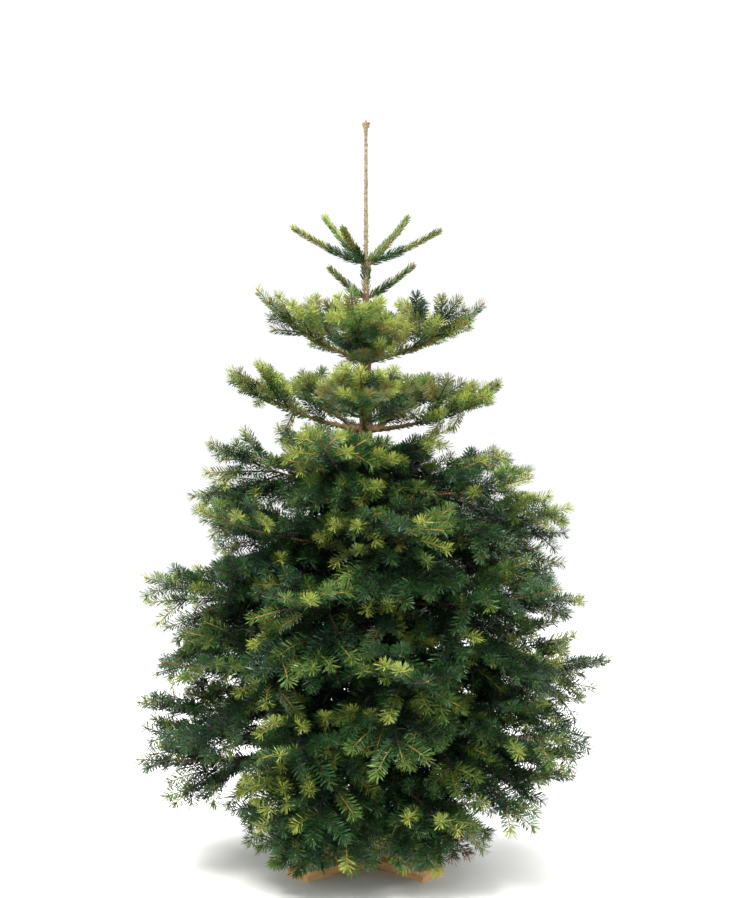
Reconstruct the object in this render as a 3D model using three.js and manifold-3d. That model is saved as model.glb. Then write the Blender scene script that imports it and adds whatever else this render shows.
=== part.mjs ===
// A cut fir Christmas tree, bare of decorations, on a plain stand of two crossed boards.
// Millimetres, +Z up, +X to the tree's right, -Y to its front. The origin is the middle of the stand's flat
// underside, under the foot of the trunk. The trunk runs unbroken from its flat cut to the bud at the top,
// and the boughs leave it in tiers. Each foliage node is a spray of needled twigs that grow from one stem.
import * as THREE from "three";
import { mergeVertices } from "three/addons/utils/BufferGeometryUtils.js";
import Module from "manifold-3d";

const wasm = await Module();
wasm.setup();

// ---- Driving dimensions ------------------------------------------------------------------------------
const GAP = 0.3; // between any two pieces that touch on the real tree

const BOARD = { length: 440, width: 72, thickness: 22, bevel: 8 };
const STAND_TURN = 45; // degrees from the X axis to the first board
const BRACES = 4;
const BRACE = { reach: 135, height: 96, width: 20, lip: 14, top: 42 };

const TREE_TOP = 1779;
const TRUNK_SWAY = 14; // how far the lower trunk bows to the left of its foot
const TRUNK_SWING = 5.6; // how far it swings back and then forward as it does
const SWAY_TOP = 1050; // height at which the trunk is straight again
// Height and radius from the cut to the bud cluster that tops the leader.
const TRUNK_TAPER = [
  [BOARD.thickness + GAP, 33], [120, 31], [500, 25], [885, 18.5], [1033, 15.5], [1196, 11.5],
  [1345, 7], [1429, 5.6], [1445, 4.4], [1742, 3.2], [1758, 5.6], [1767, 9.2], [1774, 7], [TREE_TOP, 1.6],
];
const TRUNK_SIDES = 10;
const TRUNK_STEP = 150; // longest stretch of trunk between two rings

// Tiers from the top down. height: where the boughs leave the trunk. azimuths: degrees from +X, turning
// towards +Y. lengths: along each bough. rise: degrees above level at the trunk and at the tip, and lifts:
// degrees more for each bough. stem: radius of a bough at the trunk. twigs: how many side twigs, the first
// of them at the share "first" of the bough. spread: their length as a share of the bough. tilts: degrees
// that they turn up out of the bough's plane, two and two. blade: width and depth of one needled twig.
// bough: share of the bough that is bare.
const TIERS = [
  { name: "tier1", height: 1429, azimuths: [1, 44, 137, 181, 243], lengths: [206, 204, 204, 208, 150],
    rise: [18, 32], lifts: [0, 17, 18, 2, 6], stem: 2.6, twigs: 0, blade: [44, 30], teeth: 8 },
  { name: "tier2", height: 1345, azimuths: [352, 196], lengths: [150, 128],
    rise: [30, 40], lifts: [0, 4], stem: 2.4, twigs: 0, blade: [44, 30], teeth: 6 },
  { name: "tier3", height: 1196, azimuths: [3, 62, 128, 183, 262], lengths: [332, 290, 300, 326, 285],
    rise: [14, 46], lifts: [-3, 6, 6, 4, 2], stem: 5.4, twigs: 4, first: 0.34, spread: 0.54,
    tilts: [34, 6], blade: [60, 42], teeth: 3 },
  { name: "tier4", height: 1033, azimuths: [357, 55, 122, 186, 268], lengths: [352, 330, 340, 368, 330],
    rise: [2, 38], lifts: [-1, 6, 6, 4, 4], stem: 7, twigs: 4, first: 0.46, spread: 0.58,
    tilts: [38, 6], blade: [64, 44], teeth: 3, bough: 0.4 },
  { name: "tier5", height: 885, azimuths: [28, 104, 177, 254, 328], lengths: [420, 395, 402, 385, 455],
    rise: [6, 28], lifts: [-5, 6, 1, 4, -12], stem: 8, twigs: 6, first: 0.22, spread: 0.58,
    tilts: [26, -26], blade: [84, 54], teeth: 3 },
  { name: "tier6", height: 760, azimuths: [1, 71, 146, 214, 288], lengths: [502, 470, 450, 455, 455],
    rise: [-2, 22], lifts: [0, 0, -5, 2, 0], stem: 9, twigs: 6, first: 0.2, spread: 0.55,
    tilts: [26, -26], blade: [96, 60], teeth: 3 },
  { name: "tier7", height: 635, azimuths: [34, 107, 180, 251, 324], lengths: [560, 505, 530, 490, 550],
    rise: [-6, 16], lifts: [0, 0, 0, 0, 0], stem: 10, twigs: 6, first: 0.2, spread: 0.53,
    tilts: [24, -28], blade: [96, 60], teeth: 3 },
  { name: "tier8", height: 505, azimuths: [358, 72, 143, 216, 287], lengths: [612, 540, 560, 545, 510],
    rise: [-12, 12], lifts: [-2, 0, 0, 2, 0], stem: 11, twigs: 6, first: 0.2, spread: 0.5,
    tilts: [24, -24], blade: [96, 60], teeth: 3 },
  { name: "tier9", height: 385, azimuths: [32, 106, 180, 250, 326], lengths: [575, 520, 548, 500, 560],
    rise: [-11, 10], lifts: [0, 0, 0, -4, -3], stem: 11, twigs: 6, first: 0.2, spread: 0.5,
    tilts: [24, -24], blade: [96, 60], teeth: 3 },
  { name: "tier10", height: 285, azimuths: [354, 62, 128, 188, 242, 298],
    lengths: [525, 450, 460, 545, 480, 480], rise: [-10, 4], lifts: [-5, -2, -2, 0, -10, -11], stem: 11,
    twigs: 5, first: 0.26, spread: 0.5, tilts: [14, -22], blade: [96, 60], teeth: 3 },
];

const STEM_TAPER = 0.72; // share of its radius that a bough loses from the trunk to its tip
const LAST_TWIG = 0.66; // share of a bough's length at which its last side twig leaves
const TIP_START = 0.7; // share of a bough's length at which its last needled twig begins
const STEM_END = 0.74; // share of a bough's length at which its stem ends, inside that twig
const SHOOT_START = 0.08; // the same two shares for a bough with no side twigs
const SHOOT_STEM = 0.2;
// Side twigs. angle: degrees from the bough, give or take half of angleSpread. shift: play in where they
// leave, as a share of the bough. sag: droop of the tip, as a share of the length. roll: most degrees that
// the blade turns about its own line. taper: a twig at share s of its bough is (reach - s) ** taper long.
const TWIG = { angle: 50, angleSpread: 12, shift: 0.05, sag: 0.1, roll: 34, reach: 1.12, taper: 0.7 };
const TWIG_LENGTHS = [1, 0.75, 0.5]; // shares of its length that a twig tries before it is left out
// Needled blades. neck: length of the pointed root. notch: half-width between teeth, as a share of the
// half-width at a tooth. above and below: height of the ridge over and under the twig, as shares of the
// depth. low: height of every other ridge point, as a share of the rest. lean: how far a tooth's point lies
// ahead of its notch, as a share of a tooth. swell: where the blade's width starts and how far it runs
// along half a sine wave, so that it is widest near its middle and slim at both ends.
const BLADE = { neck: 16, notch: 0.44, above: 0.7, below: 0.3, low: 0.72, lean: 0.92, swell: [0.08, 0.82] };

const WEDGE = 44; // degrees to each side of a bough that its foliage may fill
const INNER_SPACE = 90; // within this distance of the trunk's middle the wedge isn't kept
const FOLIAGE_GAP = 1; // least distance between the twigs of two foliage nodes
const LOWEST_TIP = 60; // foliage stays this far above the floor
const FINEST = 0.1; // detail smaller than this is smoothed away where twigs meet
const STEM_SIDES = 3;
const BOUGH_SIDES = 8;

const bark = new THREE.MeshStandardMaterial({ color: 0x8a6a4c, roughness: 0.9, metalness: 0 });
const needles = new THREE.MeshStandardMaterial({ color: 0x3f5c2c, roughness: 0.6, metalness: 0 });
const youngNeedles = new THREE.MeshStandardMaterial({ color: 0x7d9440, roughness: 0.6, metalness: 0 });
const pine = new THREE.MeshStandardMaterial({ color: 0xcfae7c, roughness: 0.75, metalness: 0 });

// ---- Helpers -----------------------------------------------------------------------------------------
const radians = THREE.MathUtils.degToRad;

// A repeatable stream of numbers from 0 to 1.
function seededRandom(seed) {
  const MODULUS = 4294967296;
  let state = (seed * 2654435761) % MODULUS;
  return () => {
    state = (1664525 * state + 1013904223) % MODULUS;
    return state / MODULUS;
  };
}

// A closed three.js geometry as a solid.
function solidOf(geometry) {
  const bare = geometry.clone();
  bare.deleteAttribute("normal");
  bare.deleteAttribute("uv");
  const merged = mergeVertices(bare, 1e-3);
  return new wasm.Manifold(new wasm.Mesh({
    numProp: 3,
    vertProperties: new Float32Array(merged.attributes.position.array),
    triVerts: new Uint32Array(merged.index.array),
  }));
}

function meshOf(name, solid, material) {
  const made = solid.getMesh();
  const geometry = new THREE.BufferGeometry();
  geometry.setAttribute("position", new THREE.BufferAttribute(new Float32Array(made.vertProperties), 3));
  geometry.setIndex(new THREE.BufferAttribute(new Uint32Array(made.triVerts), 1));
  geometry.computeVertexNormals();
  const mesh = new THREE.Mesh(geometry, material);
  mesh.name = name;
  return mesh;
}

// A value read off a list of [place, value] pairs, straight between them.
function between(list, place) {
  const next = list.findIndex(([at]) => at >= place);
  if (next === 0) return list[0][1];
  const [a, valueA] = list[next - 1];
  const [b, valueB] = list[next];
  return valueA + ((valueB - valueA) * (place - a)) / (b - a);
}

// Evenly spaced places from one to another.
function places(from, to, pieces) {
  return Array.from({ length: pieces + 1 }, (_, i) => from + ((to - from) * i) / pieces);
}

// A cylinder bent so that its rings stand square on a path at the given stops. path(stop) gives a ring's
// centre and its two axes, and radius(stop) its size.
function bentLimb(stops, path, radius, sides) {
  const pieces = stops.length - 1;
  const geometry = new THREE.CylinderGeometry(1, 1, pieces, sides, pieces);
  const position = geometry.attributes.position;
  for (let i = 0; i < position.count; i++) {
    const stop = stops[Math.round(position.getY(i) + pieces / 2)];
    const { centre, across, up } = path(stop);
    const size = radius(stop);
    const moved = centre.clone()
      .addScaledVector(across, position.getX(i) * size)
      .addScaledVector(up, -position.getZ(i) * size);
    position.setXYZ(i, moved.x, moved.y, moved.z);
  }
  return solidOf(geometry);
}

// ---- Trunk -------------------------------------------------------------------------------------------
function trunkCentre(z) {
  const share = Math.min(z / SWAY_TOP, 1);
  const x = -TRUNK_SWAY * Math.sin(Math.PI * share);
  const y = TRUNK_SWING * Math.sin(2 * Math.PI * share);
  return new THREE.Vector3(x, y, z);
}

// The trunk, grown by the given margin all round.
function trunk(margin) {
  const stops = [TRUNK_TAPER[0][0]];
  for (const [z] of TRUNK_TAPER.slice(1)) {
    const last = stops[stops.length - 1];
    stops.push(...places(last, z, Math.ceil((z - last) / TRUNK_STEP)).slice(1));
  }
  const across = new THREE.Vector3(1, 0, 0);
  const up = new THREE.Vector3(0, 1, 0);
  const path = (z) => ({ centre: trunkCentre(z), across, up });
  return bentLimb(stops, path, (z) => between(TRUNK_TAPER, z) + margin, TRUNK_SIDES);
}

// ---- Stand -------------------------------------------------------------------------------------------
// Extrudes an outline drawn in X and Z to the given width, centred on Y.
function extrudeAcross(outline, width) {
  const shape = new THREE.Shape(outline.map(([x, z]) => new THREE.Vector2(x, z)));
  const geometry = new THREE.ExtrudeGeometry(shape, { depth: width, bevelEnabled: false });
  geometry.translate(0, 0, -width / 2);
  geometry.rotateX(Math.PI / 2);
  return geometry;
}

// One board of the cross, halved at its middle. The lower board is notched from above.
function board(notchedAbove) {
  const { length, width, thickness, bevel } = BOARD;
  const end = length / 2;
  const lap = width / 2 + GAP;
  const half = thickness / 2;
  const rightEnd = [[end, thickness - bevel], [end - bevel, thickness]];
  const leftEnd = [[bevel - end, thickness], [-end, thickness - bevel]];
  const notchAbove = [[lap, thickness], [lap, half - GAP / 2], [-lap, half - GAP / 2], [-lap, thickness]];
  const notchBelow = [[-lap, 0], [-lap, half + GAP / 2], [lap, half + GAP / 2], [lap, 0]];
  const outline = notchedAbove
    ? [[-end, 0], [end, 0], ...rightEnd, ...notchAbove, ...leftEnd]
    : [[-end, 0], ...notchBelow, [end, 0], ...rightEnd, ...leftEnd];
  return extrudeAcross(outline, width);
}

// A wooden brace that stands on a board and holds the trunk upright.
function brace(trunkClearance, turn) {
  const floor = BOARD.thickness + GAP;
  const outline = [
    [0, floor], [BRACE.reach, floor], [BRACE.reach, floor + BRACE.lip],
    [BRACE.top, floor + BRACE.height], [0, floor + BRACE.height],
  ];
  const geometry = extrudeAcross(outline, BRACE.width);
  geometry.rotateZ(turn);
  return solidOf(geometry).subtract(trunkClearance);
}

// ---- Boughs and foliage ------------------------------------------------------------------------------
// A bough is an arc of a circle in its own upright plane: its rise turns steadily from the trunk to the
// tip. centre, along and up give its middle line and axes at a distance from the trunk's middle.
function boughOf(tier, k) {
  const azimuth = radians(tier.azimuths[k]);
  const length = tier.lengths[k];
  const [first, last] = tier.rise.map((rise) => radians(rise + tier.lifts[k]));
  const turn = (last - first) / length;
  const out = new THREE.Vector3(Math.cos(azimuth), Math.sin(azimuth), 0);
  const across = new THREE.Vector3(-Math.sin(azimuth), Math.cos(azimuth), 0);
  const foot = trunkCentre(tier.height);
  const rise = (s) => first + turn * s;
  return {
    tier, azimuth, length, across, foot,
    seed: 100 * (TIERS.indexOf(tier) + 1) + k,
    radius: (s) => tier.stem * (1 - STEM_TAPER * (s / length)),
    centre: (s) => foot.clone()
      .addScaledVector(out, (Math.sin(rise(s)) - Math.sin(first)) / turn)
      .add(new THREE.Vector3(0, 0, (Math.cos(first) - Math.cos(rise(s))) / turn)),
    along: (s) => out.clone().multiplyScalar(Math.cos(rise(s))).setZ(Math.sin(rise(s))),
    up: (s) => out.clone().multiplyScalar(-Math.sin(rise(s))).setZ(Math.cos(rise(s))),
  };
}

// A limb along a bough from one distance to another, cut clear of the trunk.
function limbOf(bough, from, to, pieces, sides, trunkClearance) {
  const path = (s) => ({ centre: bough.centre(s), across: bough.across, up: bough.up(s) });
  return bentLimb(places(from, to, pieces), path, bough.radius, sides).subtract(trunkClearance);
}

// The side twigs of a bough: on alternate sides and shorter towards the tip.
function sideTwigsOf(bough) {
  const { tier, length } = bough;
  const random = seededRandom(bough.seed);
  const twigs = [];
  for (let i = 0; i < tier.twigs; i++) {
    const share = tier.first + ((LAST_TWIG - tier.first) * i) / (tier.twigs - 1);
    const side = i % 2 ? 1 : -1;
    const angle = radians(TWIG.angle + TWIG.angleSpread * (random() - 0.5));
    const tilt = radians(tier.tilts[i % 4 < 2 ? 0 : 1] * (0.5 + random()));
    const size = tier.spread * Math.pow(TWIG.reach - share, TWIG.taper) * (0.88 + 0.24 * random());
    const start = (share + TWIG.shift * (random() - 0.5)) * length;
    const roll = radians(TWIG.roll * (2 * random() - 1));
    const direction = bough.along(start).multiplyScalar(Math.cos(angle))
      .addScaledVector(bough.across, side * Math.sin(angle) * Math.cos(tilt))
      .addScaledVector(bough.up(start), Math.sin(angle) * Math.sin(tilt));
    const up = bough.up(start).applyAxisAngle(direction, roll);
    twigs.push({ start: bough.centre(start), direction, up, length: size * length, sag: TWIG.sag });
  }
  return twigs;
}

// The needled twig that ends a bough, or the whole of a bough that has no side twigs.
function endTwigOf(bough) {
  const { tier, length } = bough;
  const from = tier.twigs ? TIP_START : SHOOT_START;
  const start = bough.centre(from * length);
  const run = bough.centre(length).sub(start);
  const up = bough.up(((from + 1) / 2) * length);
  return { start, direction: run.clone().normalize(), up, length: run.length(), sag: 0 };
}

// One needled twig: a blade with a raised ridge and teeth that lean towards its tip. It starts as a point
// inside its stem and has its full section from the neck on.
function bladeOf({ start, direction, up, length, sag }, [width, depth], teeth) {
  const across = up.clone().cross(direction).normalize();
  const normal = direction.clone().cross(across).normalize();
  const swell = (u) => Math.sin(Math.PI * (BLADE.swell[0] + BLADE.swell[1] * u));
  const positions = [];
  const addPoint = (u, side, lift) => {
    const p = start.clone()
      .addScaledVector(direction, u * length)
      .addScaledVector(across, side)
      .addScaledVector(normal, lift);
    return positions.push(p.x, p.y, p.z - sag * length * u * u) / 3 - 1;
  };
  const neck = BLADE.neck / length;
  const step = (1 - neck) / teeth;
  const stations = [];
  for (let i = 0; i < teeth; i++) {
    const u = neck + i * step;
    const ridge = depth * swell(u) * (i % 2 ? 1 : BLADE.low);
    const notch = (width / 2) * BLADE.notch * swell(u);
    const tooth = (width / 2) * swell(u + step / 2);
    const toothAt = u + BLADE.lean * step;
    stations.push({
      above: addPoint(u, 0, BLADE.above * ridge),
      below: addPoint(u, 0, -BLADE.below * ridge),
      notch: [addPoint(u, -notch, 0), addPoint(u, notch, 0)],
      tooth: [addPoint(toothAt, -tooth, 0), addPoint(toothAt, tooth, 0)],
    });
  }
  const tip = addPoint(1, 0, 0);
  stations.push({ above: tip, below: tip, notch: [tip, tip] });
  const root = addPoint(0, 0, 0);

  const faces = [];
  const addFace = (a, b, c, turned) => {
    if (a !== b && b !== c && a !== c) faces.push(...(turned ? [a, b, c] : [a, c, b]));
  };
  for (const side of [0, 1]) {
    for (const edge of ["above", "below"]) {
      const turned = (side === 0) === (edge === "above");
      addFace(root, stations[0].notch[side], stations[0][edge], turned);
      for (let i = 0; i < teeth; i++) {
        const [here, next] = [stations[i], stations[i + 1]];
        addFace(here[edge], here.notch[side], here.tooth[side], turned);
        addFace(here[edge], here.tooth[side], next.notch[side], turned);
        addFace(here[edge], next.notch[side], next[edge], turned);
      }
    }
  }
  const geometry = new THREE.BufferGeometry();
  geometry.setAttribute("position", new THREE.BufferAttribute(new Float32Array(positions), 3));
  geometry.setIndex(faces);
  return solidOf(geometry);
}

const boxesApart = (a, b, gap) =>
  [0, 1, 2].some((i) => a.min[i] > b.max[i] + gap || b.min[i] > a.max[i] + gap);

// True if a solid lies clear of every one in the list.
function clearOf(solid, others) {
  const box = solid.boundingBox();
  return others.every((other) => boxesApart(box, other.box, FOLIAGE_GAP)
    || solid.minGap(other.solid, FOLIAGE_GAP) >= FOLIAGE_GAP);
}

// True if every corner of a solid lies in its bough's wedge round the trunk and above the floor.
function insideSpace(solid, bough) {
  const { vertProperties, numProp } = solid.getMesh();
  for (let i = 0; i < vertProperties.length; i += numProp) {
    const [x, y, z] = vertProperties.slice(i, i + 3);
    if (z < LOWEST_TIP) return false;
    const [away, aside] = [x - bough.foot.x, y - bough.foot.y];
    if (Math.hypot(away, aside) < INNER_SPACE) continue;
    const turned = Math.atan2(aside, away) - bough.azimuth;
    if (Math.cos(turned) < Math.cos(radians(WEDGE))) return false;
  }
  return true;
}

// The longest blade of a twig that keeps to its bough's space and clear of what is placed, if any does.
function fittingBlade(twig, bough, placed) {
  return TWIG_LENGTHS
    .map((share) => bladeOf({ ...twig, length: share * twig.length }, bough.tier.blade, bough.tier.teeth))
    .find((blade) => insideSpace(blade, bough) && clearOf(blade, placed));
}

// One foliage node: the stem with its needled twigs fused on.
function foliageOf(bough, stemStart, placed, trunkClearance) {
  const { tier, length } = bough;
  const stemEnd = (tier.twigs ? STEM_END : SHOOT_STEM) * length;
  const stem = limbOf(bough, stemStart, stemEnd, tier.twigs ? 2 : 1, STEM_SIDES, trunkClearance);
  const twigs = [endTwigOf(bough), ...sideTwigsOf(bough)];
  const blades = twigs.map((twig) => fittingBlade(twig, bough, placed)).filter(Boolean);
  return wasm.Manifold.union([stem, ...blades]).simplify(FINEST);
}

// ---- The tree ----------------------------------------------------------------------------------------
const group = new THREE.Group();
const trunkClearance = trunk(GAP);
group.add(meshOf("trunk", trunk(0), bark));

const standTurn = radians(STAND_TURN);
group.add(meshOf("stand_board_lower", solidOf(board(true).rotateZ(standTurn)), pine));
group.add(meshOf("stand_board_upper", solidOf(board(false).rotateZ(standTurn + Math.PI / 2)), pine));
for (let k = 0; k < BRACES; k++) {
  const turn = standTurn + (2 * Math.PI * k) / BRACES;
  group.add(meshOf(`stand_brace_${k + 1}`, brace(trunkClearance, turn), pine));
}

const placed = []; // every bough and foliage solid so far, which the next twigs keep clear of
function place(name, solid, material) {
  placed.push({ solid, box: solid.boundingBox() });
  group.add(meshOf(name, solid, material));
}

for (const tier of TIERS) {
  for (let k = 0; k < tier.azimuths.length; k++) {
    const bough = boughOf(tier, k);
    const bareEnd = (tier.bough ?? 0) * bough.length;
    if (bareEnd > 0) {
      place(`bough_${tier.name}_${k + 1}`, limbOf(bough, 0, bareEnd, 3, BOUGH_SIDES, trunkClearance), bark);
    }
    const stemStart = bareEnd > 0 ? bareEnd + GAP : 0;
    const foliage = foliageOf(bough, stemStart, placed, trunkClearance);
    place(`foliage_${tier.name}_${k + 1}`, foliage, tier.twigs ? needles : youngNeedles);
  }
}

export default group;
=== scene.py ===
# A cut fir Christmas tree without decorations, on a plain stand of two crossed boards.
# The trunk, the boughs and the twigs grow by the same rule as the CAD solids and are carried on to finer
# shoots, needles and buds. Sizes are millimetres in the lists and metres in the meshes; +Z is up, +X the
# tree's right and -Y its front.
import math

import bmesh
import bpy
import numpy as np
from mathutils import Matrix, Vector


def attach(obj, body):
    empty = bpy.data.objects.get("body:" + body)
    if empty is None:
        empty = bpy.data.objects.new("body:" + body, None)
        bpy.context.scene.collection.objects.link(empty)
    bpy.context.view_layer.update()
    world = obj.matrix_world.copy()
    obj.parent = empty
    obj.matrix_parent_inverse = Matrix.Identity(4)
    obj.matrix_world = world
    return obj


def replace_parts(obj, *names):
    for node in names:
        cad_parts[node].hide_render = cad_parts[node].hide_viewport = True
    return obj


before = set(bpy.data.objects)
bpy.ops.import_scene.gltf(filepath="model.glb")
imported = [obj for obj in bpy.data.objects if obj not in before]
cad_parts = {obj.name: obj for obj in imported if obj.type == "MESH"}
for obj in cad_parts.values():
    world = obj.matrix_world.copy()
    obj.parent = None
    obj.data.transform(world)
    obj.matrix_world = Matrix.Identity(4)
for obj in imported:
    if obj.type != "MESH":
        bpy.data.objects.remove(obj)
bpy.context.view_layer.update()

MM = 0.001
DOWN, UP = np.array([0.0, 0.0, -1.0]), np.array([0.0, 0.0, 1.0])

# ---- The tree's numbers, as the CAD source has them ----
GAP = 0.3
BOARD = {"length": 440, "width": 72, "thickness": 22, "bevel": 8}
STAND_TURN = 45
BRACES = 4
BRACE = {"reach": 135, "height": 96, "width": 20, "lip": 14, "top": 42}

TREE_TOP = 1779
TRUNK_SWAY = 14
TRUNK_SWING = 5.6
SWAY_TOP = 1050
TRUNK_TAPER = [
    (BOARD["thickness"] + GAP, 33), (120, 31), (500, 25), (885, 18.5), (1033, 15.5), (1196, 11.5),
    (1345, 7), (1429, 5.6), (1445, 4.4), (1742, 3.2), (1758, 5.6), (1767, 9.2), (1774, 7), (TREE_TOP, 1.6),
]
TIER_KEYS = (
    "height", "azimuths", "lengths", "rise", "lifts", "stem", "twigs", "first", "spread", "tilts", "bough",
)
TIERS = [dict(zip(TIER_KEYS, tier)) for tier in (
    (1429, [1, 44, 137, 181, 243], [206, 204, 204, 208, 150], [18, 32], [0, 17, 18, 2, 6], 2.6, 0),
    (1345, [352, 196], [150, 128], [30, 40], [0, 4], 2.4, 0),
    (1196, [3, 62, 128, 183, 262], [332, 290, 300, 326, 285], [14, 46], [-3, 6, 6, 4, 2],
     5.4, 4, 0.34, 0.54, [34, 6]),
    (1033, [357, 55, 122, 186, 268], [352, 330, 340, 368, 330], [2, 38], [-1, 6, 6, 4, 4],
     7, 4, 0.46, 0.58, [38, 6], 0.4),
    (885, [28, 104, 177, 254, 328], [420, 395, 402, 385, 455], [6, 28], [-5, 6, 1, 4, -12],
     8, 6, 0.22, 0.58, [26, -26]),
    (760, [1, 71, 146, 214, 288], [502, 470, 450, 455, 455], [-2, 22], [0, 0, -5, 2, 0],
     9, 6, 0.2, 0.55, [26, -26]),
    (635, [34, 107, 180, 251, 324], [560, 505, 530, 490, 550], [-6, 16], [0, 0, 0, 0, 0],
     10, 6, 0.2, 0.53, [24, -28]),
    (505, [358, 72, 143, 216, 287], [612, 540, 560, 545, 510], [-12, 12], [-2, 0, 0, 2, 0],
     11, 6, 0.2, 0.5, [24, -24]),
    (385, [32, 106, 180, 250, 326], [575, 520, 548, 500, 560], [-11, 10], [0, 0, 0, -4, -3],
     11, 6, 0.2, 0.5, [24, -24]),
    (285, [354, 62, 128, 188, 242, 298], [525, 450, 460, 545, 480, 480], [-10, 4],
     [-5, -2, -2, 0, -10, -11], 11, 5, 0.26, 0.5, [14, -22]),
)]
LAST_TWIG = 0.66
TWIG = {"angle": 50, "angleSpread": 12, "shift": 0.05, "sag": 0.1, "reach": 1.12, "taper": 0.7}
LOWEST_TIP = 60

# ---- Finer growth ----
# Zones of growth and colour, each up to a number of tiers from the top: single shoots, open boughs, and the
# full crown's lighter shoulder and darker body. The lighter tints toward the top are painted light on the lit
# upper crown, and the body's darker ones are painted shade.
ZONES = [(2, "single"), (4, "upper"), (6, "shoulder"), (10, "body")]
FULL = ("shoulder", "body")
# Needles of each zone: their length and width against NEEDLE's, and how densely they stand.
NEEDLE_FORM = {
    "single": (0.68, 0.78, 1.2), "upper": (0.86, 0.88, 1.55), "shoulder": (0.9, 0.95, 1.0),
    "body": (0.94, 1.0, 1.0),
}
TIP_INSET = 12  # a limb ends this far inside the solid's tip, which its end needles then reach
BOUGH_SLIM = {"open": 0.9, "full": 0.62}  # a bough's wood against the stem of its solid
TWIG_RADII = (2.8, 1.3)  # a side twig's, at root and tip

# ---- Helpers ----
radians = math.radians


def unit(v):
    return v / np.linalg.norm(v, axis=-1, keepdims=True)


def heading(angle):
    """The level direction at an angle round the trunk."""
    return np.array([math.cos(angle), math.sin(angle), 0])


def seeded_random(seed):
    """The CAD source's repeatable stream of numbers from 0 to 1."""
    modulus = 4294967296
    state = [(seed * 2654435761) % modulus]

    def draw():
        state[0] = (1664525 * state[0] + 1013904223) % modulus
        return state[0] / modulus

    return draw


def lattice_noise(points, scale, seed):
    """Smooth noise from 0 to 1 at many points."""
    place = np.asarray(points, dtype=float) / scale
    cell = np.floor(place).astype(np.int64)
    part = place - cell
    part = part * part * (3 - 2 * part)
    total = np.zeros(len(place))
    for corner in range(8):
        bit = np.array([corner & 1, corner >> 1 & 1, corner >> 2 & 1])
        i, j, k = (cell + bit).T
        mixed = (i * 374761393 + j * 668265263 + k * 1440662683 + seed * 974634777) & 0xFFFFFFFF
        mixed = ((mixed ^ (mixed >> 13)) * 1274126177) & 0xFFFFFFFF
        value = ((mixed ^ (mixed >> 16)) & 0xFFFF) / 65535
        total += value * np.prod(np.where(bit == 1, part, 1 - part), axis=1)
    return total


def srgb(red, green, blue):
    """A screen colour of 0 to 255 as the shader's linear colour."""
    parts = [c / 255 for c in (red, green, blue)]
    linear = [c / 12.92 if c <= 0.04045 else ((c + 0.055) / 1.055) ** 2.4 for c in parts]
    return (*linear, 1.0)


# ---- Meshes ----
class Store:
    """Points and triangles of many small forms, joined into one mesh."""

    def __init__(self):
        self.points, self.faces, self.count = [], [], 0

    def add(self, points, faces):
        self.points.append(points)
        self.faces.append(faces + self.count)
        self.count += len(points)

    def arrays(self):
        return np.concatenate(self.points), np.concatenate(self.faces)


def make_piece(name, points, faces, material, slot):
    """An object of triangles that rides on the tree."""
    mesh = bpy.data.meshes.new(name)
    mesh.vertices.add(len(points))
    mesh.vertices.foreach_set("co", (np.asarray(points) * MM).astype(np.float32).ravel())
    mesh.loops.add(faces.size)
    mesh.loops.foreach_set("vertex_index", faces.astype(np.int32).ravel())
    mesh.polygons.add(len(faces))
    mesh.polygons.foreach_set("loop_start", np.arange(0, faces.size, 3, dtype=np.int32))
    mesh.polygons.foreach_set("use_smooth", np.ones(len(faces), dtype=bool))
    mesh.update(calc_edges=True)
    mesh.materials.append(material)
    piece = bpy.data.objects.new(name, mesh)
    bpy.context.scene.collection.objects.link(piece)
    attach(piece, "root")
    return piece


def tube_faces(rings, sides):
    """Triangles of a closed tube: its rings in order, then the point at its root and the one at its tip."""
    turn = np.arange(sides)
    after = (turn + 1) % sides
    faces = []
    for ring in range(rings - 1):
        a, b = ring * sides, (ring + 1) * sides
        faces += [np.stack([a + turn, a + after, b + after], 1), np.stack([a + turn, b + after, b + turn], 1)]
    root, tip, last = rings * sides, rings * sides + 1, (rings - 1) * sides
    faces.append(np.stack([np.full(sides, root), after, turn], 1))
    faces.append(np.stack([np.full(sides, tip), last + turn, last + after], 1))
    return np.concatenate(faces)


def tube(centres, side, up, radii, sides, relief=None):
    """A closed tube round a line, with a radius for each of its points. A relief adds to each corner's."""
    angle = 2 * np.pi * np.arange(sides) / sides
    radii = radii[:, None] * np.ones(sides)
    if relief is not None:
        radii = radii + relief
    ring = (side[:, None, :] * np.cos(angle)[None, :, None] + up[:, None, :] * np.sin(angle)[None, :, None])
    points = (centres[:, None, :] + ring * radii[:, :, None]).reshape(-1, 3)
    return np.concatenate([points, centres[:1], centres[-1:]]), tube_faces(len(centres), sides)


# ---- Lines that wood follows ----
def trunk_centre(z):
    z = np.atleast_1d(np.asarray(z, dtype=float))
    share = np.minimum(z / SWAY_TOP, 1)
    return np.stack([-TRUNK_SWAY * np.sin(np.pi * share), TRUNK_SWING * np.sin(2 * np.pi * share), z], 1)


class Axis:
    """What boughs and twigs share: a line from u = 0 to u = 1 with a frame and a radius at each u."""

    def frames(self, u):
        along = self.along(u)
        side = unit(np.cross(along, self.up_at(u)))
        return along, side, np.cross(side, along)


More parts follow.
